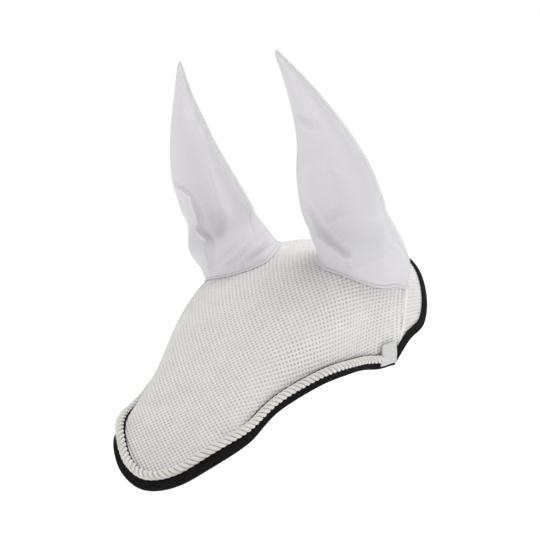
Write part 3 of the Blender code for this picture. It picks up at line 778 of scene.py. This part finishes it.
def tab_profile(lift):
    """The section of the tab: a ribbon laid over the binding and the knit, its lower end turned under."""
    top = KNIT_THICKNESS + lift
    high, low = TAB_HEIGHT + 0.0032, 0.0050
    upper = [(high + (low - high) * f, top + 0.0012 + 0.0006 * math.sin(math.pi * f)) for f in np.linspace(0, 1, 11)]
    fold = [(low - 0.0005, top + 0.0007)]
    return upper + fold + [(low + (high - low) * f, top + 0.0001 - 0.0001 * f) for f in np.linspace(0, 1, 11)]


def make_tabs(look, thread):
    whole = front_rim(0.0015)
    total = lengths(whole)[-1]
    left = evenly(trimmed(whole, total - TAB_WIDTH - 0.0007, 0.0007), 0.0010)
    right = evenly(trimmed(whole, 0.0007, total - TAB_WIDTH - 0.0007), 0.0010)
    lift = 2 * CLEARANCE + TAPE_THICKNESS
    profile = tab_profile(lift)
    for label, line in (("left", left), ("right", right)):
        piece = strip(label + "_tab_ribbon", line, profile, look)
        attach(piece, "root")
        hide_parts(label + "_edge_tab")
        row = inset(line, TAB_HEIGHT)
        height = np.full(len(row), KNIT_THICKNESS + lift + 0.0011)
        points, normal = form_point(row[:, 0], row[:, 1], height), form_frame(row[:, 0], row[:, 1])[2]
        sewn = stitches(label + "_tab_stitching", points, normal, thread, 0.0016, 0.0007, 0.00022)
        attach(sewn, "root")


def make_seams(look):
    """Narrow overlocked seams where the knit's panels meet."""
    left, right = (trimmed(side_seam(label), 0.004, 0.010) for label in ("left", "right"))
    seam_ridge("left_side_seam_overlock", left, look, "left_side_seam_tape")
    seam_ridge("right_side_seam_overlock", mirror(right), look, "right_side_seam_tape")
    left, right = (trimmed(crown_seam(label), 0.003, 0.0) for label in ("left", "right"))
    seam_ridge("crown_seam_overlock", np.vstack([left, mirror(right)[1:]]), look, "crown_seam_tape")


def seam_ridge(name, line, look, replaced):
    line = evenly(line, 0.0006)
    sides = 10
    columns = []
    bead = 0.00012 * (np.arange(len(line)) % 4 < 2)
    for k in range(sides):
        turn = 2 * math.pi * k / sides
        place = inset(line, 0.0017 * math.cos(turn))
        height = 0.0012 + 0.0006 * math.sin(turn) + bead * (math.sin(turn) > 0)
        columns.append(form_point(place[:, 0], place[:, 1], np.broadcast_to(height, len(line))))
    piece = swept(name, np.stack(columns, 1), look)
    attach(piece, "root")
    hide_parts(replaced)


# ---- ears ----
def ear_spine(u):
    table = np.array(EAR_SPINE)
    return np.stack([keyed(u, table[:, [0, i]]) for i in (1, 2, 3)], -1)


def hump(turn, middle_deg, spread_deg):
    away = (turn - math.radians(middle_deg) + math.pi) % (2 * math.pi) - math.pi
    return np.exp(-((away / math.radians(spread_deg)) ** 2))


def ear_section(u, turn):
    d = 0.002
    spine = ear_spine(u)
    tangent = unit(ear_spine(np.clip(u + d, 0, 1)) - ear_spine(np.clip(u - d, 0, 1)))
    twist = np.radians(keyed(u, EAR_TWIST_DEG))
    away = np.stack([np.cos(twist), np.sin(twist), 0 * twist], -1)
    away = unit(away - tangent * (away * tangent).sum(-1, keepdims=True))
    forward = np.cross(tangent, away) * -1
    width = keyed(u, EAR_HALF_WIDTH) * np.cos(turn)
    dent = 0.75 * ease(u / EAR_SETTLE) * hump(turn, 95, 34)
    depth = keyed(u, EAR_HALF_DEPTH) * (np.sin(turn) - dent)
    return spine + away * width[..., None] + forward * depth[..., None]


# How far each ear's cloth lies from the CAD's ear, in millimetres to the camera's right, at the ear's left and
# right edge as the camera sees it: (u, left, right).
EAR_DRIFT = {
    "left": ((0, 0, 0), (0.06, 0, 4.0), (0.14, 0.5, -1.0), (0.20, 2.6, -5.2), (0.26, 2.6, -7.0), (0.32, 1.2, -5.0),
             (0.40, 0, -3.6), (0.50, -0.8, -2.0), (0.60, 0, -1.6), (0.72, 0, -2.0), (0.88, 0, -1.4), (1, 0, 0)),
    "right": ((0, 0, 0), (0.04, 0, -3.0), (0.10, -0.5, -3.6), (0.18, -1.0, -0.8), (0.28, -2.4, 0), (0.38, -1.2, -1.4),
              (0.50, -0.8, -2.4), (0.60, 0, -2.2), (0.74, 1.2, -0.4), (0.88, 2.0, -1.2), (1, 0, 0)),
}
ACROSS = (0.814, 0.581, 0.0)


def ear_surface(label, u, turn):
    u, turn = np.broadcast_arrays(np.asarray(u, float), np.asarray(turn, float))
    place = hole_at(label, turn)
    base = form_point(place[..., 0], place[..., 1], np.full(u.shape, KNIT_THICKNESS + CLEARANCE))
    rise = ear_spine(u) - ear_spine(np.zeros_like(u))
    share = ease(np.clip(u / EAR_SETTLE, 0, 1)[..., None])
    slack = BULGE * np.sin(np.pi * np.clip(u / BULGE_TOP, 0, 1)) ** 2 * hump(turn, BULGE_TURN_DEG, BULGE_SPREAD_DEG)
    point = (base + rise) * (1 - share) + ear_section(u, turn) * share + slack[..., None] * np.array(BULGE_DIRECTION)
    return drifted(label, u, point)


def drifted(label, u, point):
    side = 1 if label == "left" else -1
    across = np.array(ACROSS) * (side, 1, 1)
    table = np.array(EAR_DRIFT[label], float)
    low, high = (keyed(u, table[:, [0, i]]) / 1000 for i in (1, 2))
    spine = ear_spine(u)
    reach = ((point - spine) * across).sum(-1)
    width = np.maximum(keyed(u, EAR_HALF_WIDTH), 0.004)
    share = ease(0.5 + 0.5 * reach / width)
    return point + (low * (1 - share) + high * share)[..., None] * across


# The folds of each ear: (height in mm, width in mm, ((u, turn in degrees), ...) along the fold).
FOLDS = {
    "left": (
        (-3.8, 3.2, ((0.351, 142), (0.308, 132), (0.254, 126), (0.193, 122), (0.143, 114), (0.104, 110))),
        (2.8, 3.4, ((0.216, 147), (0.154, 141), (0.100, 135), (0.054, 124))),
        (-2.2, 2.2, ((0.096, 152), (0.058, 138), (0.023, 122))),
        (-1.3, 2.6, ((0.790, 128), (0.759, 112), (0.728, 96), (0.713, 70))),
        (0.9, 2.6, ((0.759, 130), (0.724, 112), (0.697, 96))),
        (-4.5, 12.0, ((0.539, 99), (0.443, 104), (0.335, 105), (0.254, 104))),
        (-1.2, 2.4, ((0.139, 4), (0.170, 12), (0.204, 16), (0.247, 16))),
        (1.0, 3.0, ((0.116, 16), (0.146, 27), (0.177, 36))),
        (0.9, 3.0, ((0.027, 135), (0.062, 105), (0.108, 72), (0.150, 45))),
    ),
    "right": (
        (-5.5, 9.0, ((0.767, 120), (0.643, 108), (0.478, 101), (0.297, 92), (0.177, 132))),
        (2.6, 1.8, ((0.470, 39), (0.447, 58), (0.397, 69), (0.316, 68), (0.223, 69), (0.197, 84), (0.173, 105),
                    (0.073, 136), (0.004, 134))),
        (-1.8, 2.4, ((0.378, 75), (0.304, 74), (0.231, 75), (0.200, 93), (0.173, 117), (0.081, 144), (0.027, 142))),
        (-1.8, 2.2, ((0.046, 142), (0.073, 159), (0.096, 174), (0.135, 177))),
        (1.4, 2.4, ((0.031, 152), (0.054, 170), (0.066, 183), (0.100, 194))),
        (-1.7, 2.2, ((0.035, 164), (0.046, 177), (0.058, 190), (0.089, 204))),
        (-1.9, 2.2, ((0.023, 184), (0.031, 200), (0.027, 219), (0.015, 248))),
        (1.4, 2.6, ((0.042, 182), (0.050, 198), (0.058, 215), (0.050, 243))),
        (-1.2, 2.4, ((0.424, 159), (0.335, 160), (0.208, 189), (0.081, 228))),
    ),
}


def folded(label, point, u):
    """The height of the ear's folds at each point, in metres; none at its base seam or its tip."""
    height = np.zeros(u.shape)
    for rise, width, places in FOLDS[label]:
        line = np.array(places, float)
        steps = np.linspace(0, len(line) - 1, 12 * len(line))
        where = [np.interp(steps, np.arange(len(line)), line[:, i]) for i in (0, 1)]
        where = ear_surface(label, where[0], np.radians(where[1]))
        near = np.full(u.shape, 1.0)
        fade = np.ones(u.shape)
        ends = ease(np.minimum(steps, steps[-1] - steps) / 0.8 + 0.15)
        for spot, strength in zip(where, ends):
            away = np.linalg.norm(point - spot, axis=-1)
            fade = np.where(away < near, strength, fade)
            near = np.minimum(near, away)
        height += rise / 1000 * fade * np.exp(-(near / (width / 1000)) ** 2)
    return height * ease(u / 0.03) * ease((0.97 - u) / 0.05)


def ear_normal(label, u, turn):
    d = 0.003
    up = ear_surface(label, np.clip(u + d, 0, 1), turn) - ear_surface(label, np.clip(u - d, 0, 1), turn)
    round_ = ear_surface(label, u, turn + d * 3) - ear_surface(label, u, turn - d * 3)
    normal = np.cross(up, round_)
    return normal / np.maximum(np.linalg.norm(normal, axis=-1, keepdims=True), 1e-12)


def ear_skin(label, u, turn):
    """The ear's outer surface with its folds, and the normal of the surface without them."""
    u, turn = np.broadcast_arrays(np.asarray(u, float), np.asarray(turn, float))
    point = ear_surface(label, u, turn)
    normal = ear_normal(label, u, turn)
    height = folded(label, point, u)
    for seam in (OUTER_SEAM_DEG, INNER_SEAM_DEG):
        away = np.linalg.norm(point - ear_surface(label, u, np.full(u.shape, math.radians(seam))), axis=-1)
        height = height - 0.0005 * np.exp(-(away / 0.0014) ** 2) * ease(u / 0.02)
    return point + normal * height[..., None], normal


def grid_normals(grid):
    """Outward normals of a grid of points, rows up the ear and columns round it."""
    up = np.gradient(grid, axis=0)
    wide = np.concatenate([grid[:, -1:], grid, grid[:, :1]], 1)
    along = (wide[:, 2:] - wide[:, :-2]) / 2
    normal = np.cross(up, along)
    return normal / np.maximum(np.linalg.norm(normal, axis=-1, keepdims=True), 1e-12)


EAR_ROWS = 190
EAR_COLUMNS = 168
LYCRA = 0.0011


def ear_grid(label):
    rows = np.linspace(0, 1, EAR_ROWS) ** 1.06
    rows[-1] = 0.998
    turn = 2 * np.pi * np.arange(EAR_COLUMNS) / EAR_COLUMNS
    u, turn = np.meshgrid(rows, turn, indexing="ij")
    grid, _ = ear_skin(label, u, turn)
    return u, turn, grid, grid_normals(grid)


def make_ear(label, side, look):
    flip = np.array([side, 1, 1])
    u, turn, grid, normal = ear_grid(label)
    outer = grid * flip
    depth = LYCRA * np.clip((1.02 - u) / 0.10, 0.25, 1)
    inner = (grid - normal * depth[..., None]) * flip
    rows, columns = grid.shape[:2]
    n = rows * columns
    tip_out, tip_in = outer[-1].mean(0) + (0, 0, 0.0006), inner[-1].mean(0)
    points = np.vstack([outer.reshape(-1, 3), inner.reshape(-1, 3), tip_out, tip_in])
    faces = []
    for i in range(rows - 1):
        for j in range(columns):
            k = (j + 1) % columns
            a, b, c, e = i * columns + j, i * columns + k, (i + 1) * columns + k, (i + 1) * columns + j
            faces.append((a, b, c, e))
            faces.append((e + n, c + n, b + n, a + n))
    for j in range(columns):
        k = (j + 1) % columns
        faces.append((j, j + n, k + n, k))
        top = (rows - 1) * columns
        faces.append((top + j, top + k, 2 * n))
        faces.append((top + k + n, top + j + n, 2 * n + 1))
    faces = outward(points, faces)
    around = np.stack([turn * keyed(u, EAR_HALF_WIDTH) * 900, u * 200, 0 * u], -1).reshape(-1, 3)
    wale = np.vstack([around, around, around[-1:], around[-1:]])
    piece = add_piece(label + "_ear_sleeve", points, faces, look, wale)
    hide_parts(label + "_ear_cuff", label + "_ear_front_panel", label + "_ear_back_panel")
    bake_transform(piece)
    make_ear_seams(label, flip, look)
    make_base(label, flip, look)


def make_ear_seams(label, flip, look):
    """The raised seam up the ear's outer edge, over its tip and down its inner edge."""
    rows = np.linspace(0.012, 0.985, 190)
    up, down = (ear_skin(label, rows, np.full(rows.shape, math.radians(seam)))
                for seam in (OUTER_SEAM_DEG, INNER_SEAM_DEG))
    tip = ear_spine(np.array([1.0])) + (0, 0, 0.0012)
    centre = np.vstack([up[0], tip, down[0][::-1]])
    normal = np.vstack([up[1], [[0, -0.5, 0.86]], down[1][::-1]])
    run = run_along(centre)
    where = np.linspace(0, run[-1], round(run[-1] / 0.0009))
    centre, normal = read_at(where, run, centre), unit(read_at(where, run, normal))
    _, side = side_along(centre, normal)
    around = 2 * np.pi * np.arange(8) / 8
    rings = centre[:, None] + 0.0010 * np.cos(around)[:, None] * side[:, None] \
        + 0.00075 * np.sin(around)[:, None] * normal[:, None]
    piece = swept(label + "_ear_seam_welt", rings * flip, look)
    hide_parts(label + "_ear_seam")
    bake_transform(piece)


def make_base(label, flip, look):
    """The sewn roll that joins the ear to the knit."""
    count = 260
    turn = 2 * np.pi * np.arange(count) / count
    columns = []
    sides = 12
    for k in range(sides):
        a = 2 * math.pi * k / sides
        grow = 0.0007 + 0.0015 * math.cos(a)
        place = ear_hole(label, grow, count)
        wave = 0.00010 * np.sin(turn * 90)
        height = 0.0019 + (0.0009 + wave) * math.sin(a)
        columns.append(form_point(place[:, 0], place[:, 1], np.broadcast_to(height, count)))
    rings = np.stack(columns, 1) * flip
    piece = swept(label + "_ear_base_roll", rings, look, closed=True)
    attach(piece, "root")
    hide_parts(label + "_ear_base_seam")


# ---- stage ----
AZIMUTH_DEG = 35.5
ELEVATION_DEG = 4.5
DISTANCE = 0.780
FOCAL_PX = 865.8
FRAME_PX = 540
LOOK_RIGHT = -0.02939
LOOK_UP = -0.02277
WORLD_LIGHT = 0.78
FRONT_LIGHT = 0.46
FLOOR_GLOW = 0.16
KEY_PLACE = (0.6, 0.15, 1.7)
KEY_STRENGTH = 1.0
KEY_ANGLE_DEG = 50
DIM_DIRECTION = (0.58, -0.81, 0.08)  # the light from in front of the object is dimmer, which shades its form
FLOOR_HEIGHT = -0.60
FLOOR_RADIUS = 14.0


def make_camera():
    a, e = math.radians(AZIMUTH_DEG), math.radians(ELEVATION_DEG)
    back = Vector((math.sin(a) * math.cos(e), -math.cos(a) * math.cos(e), math.sin(e)))
    right = Vector((math.cos(a), math.sin(a), 0))
    up = back.cross(right)
    data = bpy.data.cameras.new("camera")
    data.sensor_width = 36
    data.lens = FOCAL_PX * 36 / FRAME_PX
    data.clip_start, data.clip_end = 0.01, 50
    camera = bpy.data.objects.new("camera", data)
    bpy.context.scene.collection.objects.link(camera)
    camera.matrix_world = Matrix((
        (right.x, up.x, back.x, 0), (right.y, up.y, back.y, 0), (right.z, up.z, back.z, 0), (0, 0, 0, 1)))
    camera.location = right * LOOK_RIGHT + up * LOOK_UP + back * DISTANCE
    bpy.context.scene.camera = camera


def make_sun(name, place, strength, angle_deg):
    data = bpy.data.lights.new(name, "SUN")
    data.energy = strength
    data.angle = math.radians(angle_deg)
    light = bpy.data.objects.new(name, data)
    light.rotation_mode = "QUATERNION"
    light.rotation_quaternion = (-Vector(place)).to_track_quat("-Z", "Y")
    bpy.context.scene.collection.objects.link(light)


def make_stage():
    scene = bpy.context.scene
    scene.view_settings.view_transform = "Standard"
    world = bpy.data.worlds.new("studio")
    scene.world = world
    world.use_nodes = True
    nodes, links = world.node_tree.nodes, world.node_tree.links
    back = nodes["Background"]
    path = node(nodes, "ShaderNodeLightPath")
    seen = node(nodes, "ShaderNodeMapRange")
    seen.inputs["To Max"].default_value = 1.0
    links.new(path.outputs["Is Camera Ray"], seen.inputs["Value"])
    links.new(seen.outputs["Result"], back.inputs["Strength"])
    back.inputs["Color"].default_value = (1.0, 1.0, 1.0, 1)
    place = node(nodes, "ShaderNodeTexCoord")
    facing = node(nodes, "ShaderNodeVectorMath", operation="DOT_PRODUCT")
    facing.inputs[1].default_value = DIM_DIRECTION
    links.new(place.outputs["Generated"], facing.inputs[0])
    dim = node(nodes, "ShaderNodeMapRange")
    for key, value in (("From Min", 0.1), ("From Max", 1.0), ("To Min", WORLD_LIGHT), ("To Max", FRONT_LIGHT)):
        dim.inputs[key].default_value = value
    links.new(facing.outputs["Value"], dim.inputs["Value"])
    links.new(dim.outputs["Result"], seen.inputs["To Min"])
    n = 96
    turns = [2 * math.pi * k / n for k in range(n)]
    points = [(0, 0, FLOOR_HEIGHT)]
    points += [(FLOOR_RADIUS * math.cos(turn), FLOOR_RADIUS * math.sin(turn), FLOOR_HEIGHT) for turn in turns]
    mesh = bpy.data.meshes.new("studio_floor")
    mesh.from_pydata(points, [], [(0, 1 + k, 1 + (k + 1) % n) for k in range(n)])
    floor = bpy.data.objects.new("studio_floor", mesh)
    scene.collection.objects.link(floor)
    made, nodes, links, shader = material("studio_white", (0.96, 0.96, 0.96), 0.95, specular=0.0)
    tinted(nodes, links, shader, 0.6, 1, 0.3, 0.7, (0.955, 0.955, 0.955), (0.96, 0.96, 0.96))
    shader.inputs["Emission Color"].default_value = (1, 1, 1, 1)
    shader.inputs["Emission Strength"].default_value = FLOOR_GLOW
    mesh.materials.append(made)
    make_sun("key", KEY_PLACE, KEY_STRENGTH, KEY_ANGLE_DEG)


# ---- the whole ----
make_camera()
make_stage()
KNIT = knit_material()
PIT_SHADE = pit_shade_material()
JERSEY = lycra_material()
ROPE = rope_material()
BLACK = binding_material()
RIBBON = ribbon_material()
THREAD = thread_material()
front = knit("front_knit_net", front_outline(), front_lattice, KNIT, PIT_SHADE, ["front_knit_panel"], front_open)
flat_area(front_outline())
rear = knit("rear_knit_net", rear_outline(), rear_lattice, KNIT, PIT_SHADE, ["rear_knit_panel"], rear_open)
flat_area(rear_outline())
make_bindings(BLACK)
make_rope(ROPE)
make_tabs(RIBBON, THREAD)
make_seams(KNIT)
for label, side in (("left", 1), ("right", -1)):
    make_ear(label, side, JERSEY)

bpy.context.view_layer.update()
